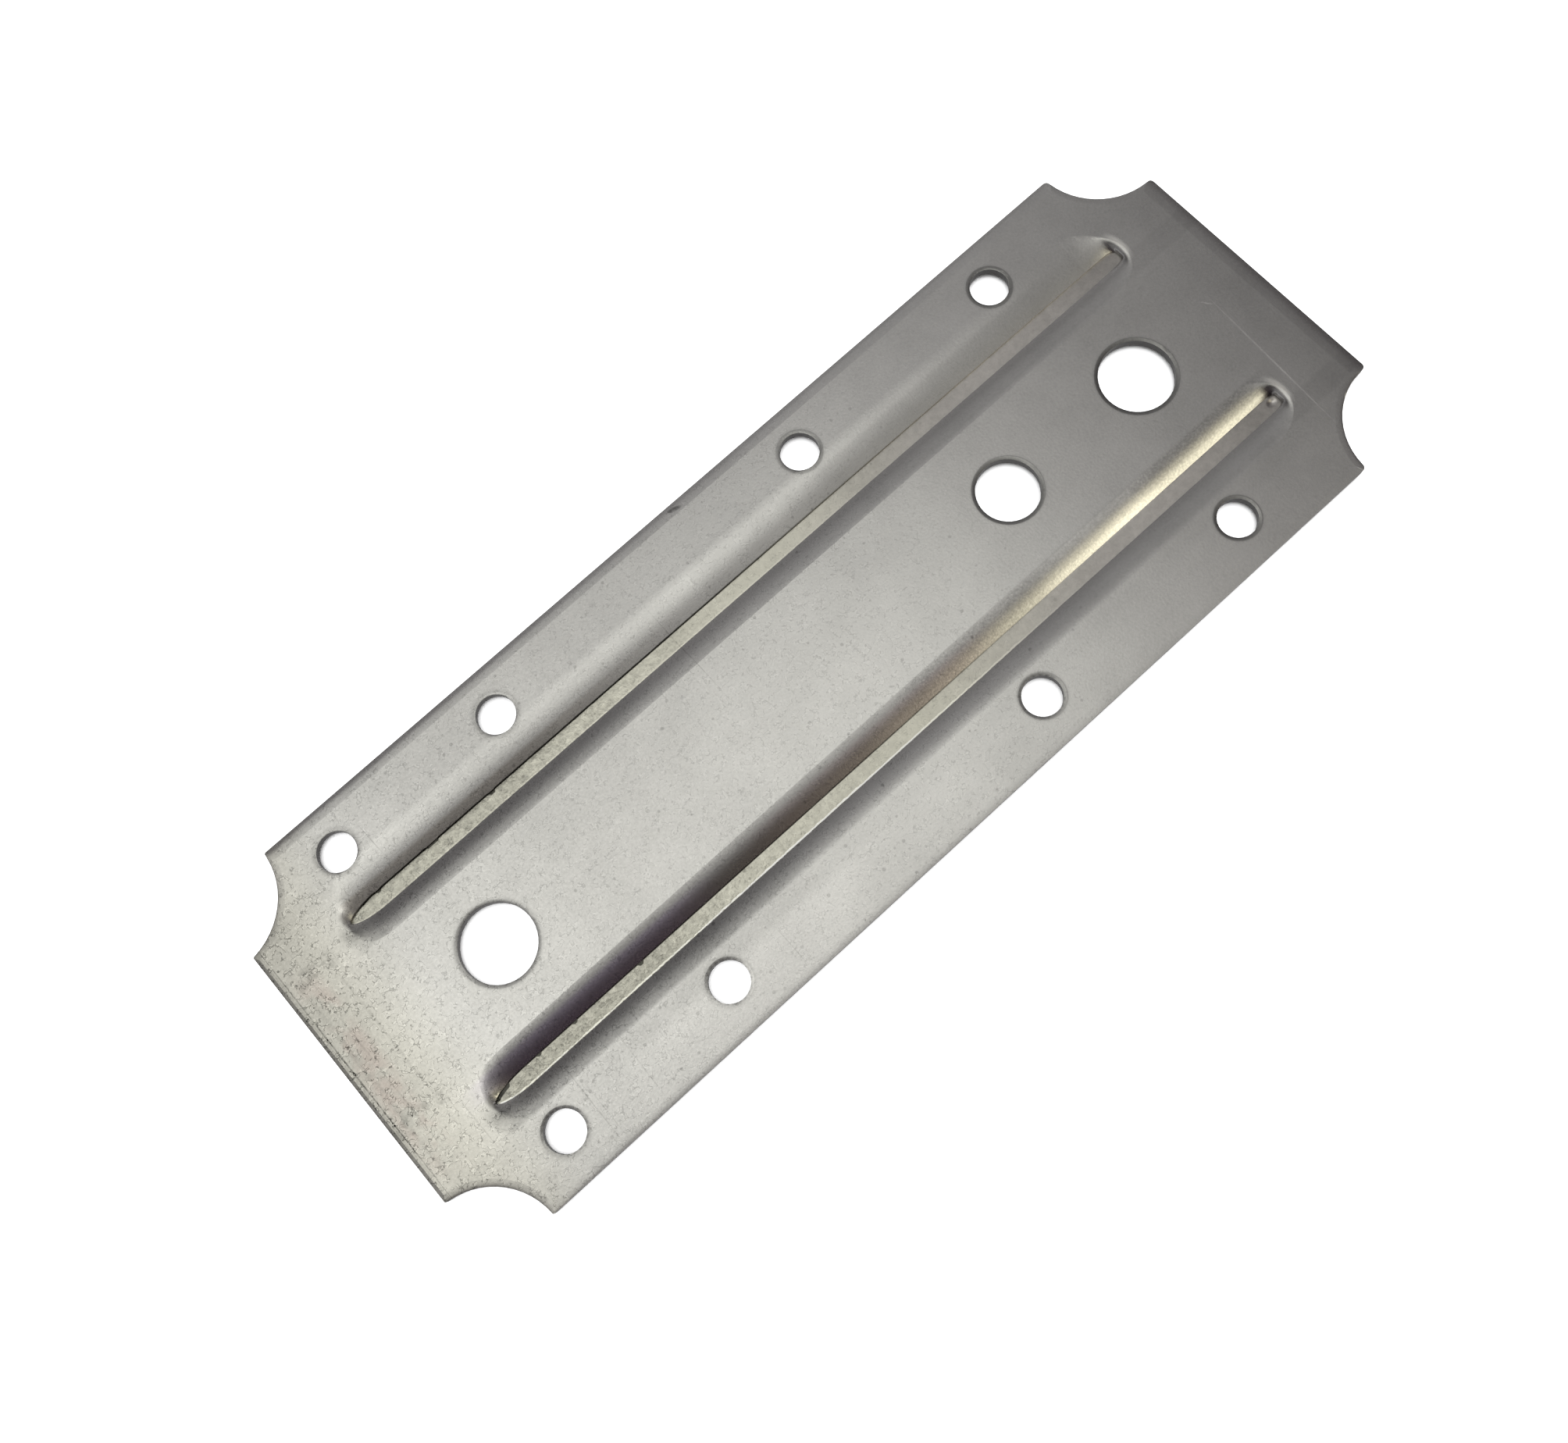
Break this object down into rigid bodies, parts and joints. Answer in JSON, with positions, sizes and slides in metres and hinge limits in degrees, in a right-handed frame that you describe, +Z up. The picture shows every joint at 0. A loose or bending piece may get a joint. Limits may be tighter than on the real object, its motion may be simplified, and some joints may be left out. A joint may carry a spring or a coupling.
{
  "type": "flat connector plate",
  "caption": "Flat sheet-steel connector plate with notched corners, two pressed stiffening ribs, rows of screw holes and larger bolt holes on its centre line.",
  "frame": {"origin": "under the middle of the plate, in the plane of the two rib crests that it lies on", "axes": "+X along the plate from its near end to its far end, where the two neighbouring larger holes are, +Y across it, +Z up, out of the flat contact face"},
  "size_m": [0.2, 0.0744, 0.0028],
  "materials": {
    "sheet_steel": "satin mill finish, lightly stained and scuffed"
  },
  "bodies": {
    "root": {"connector_plate": "sheet_steel"}
  },
  "joints": []
}
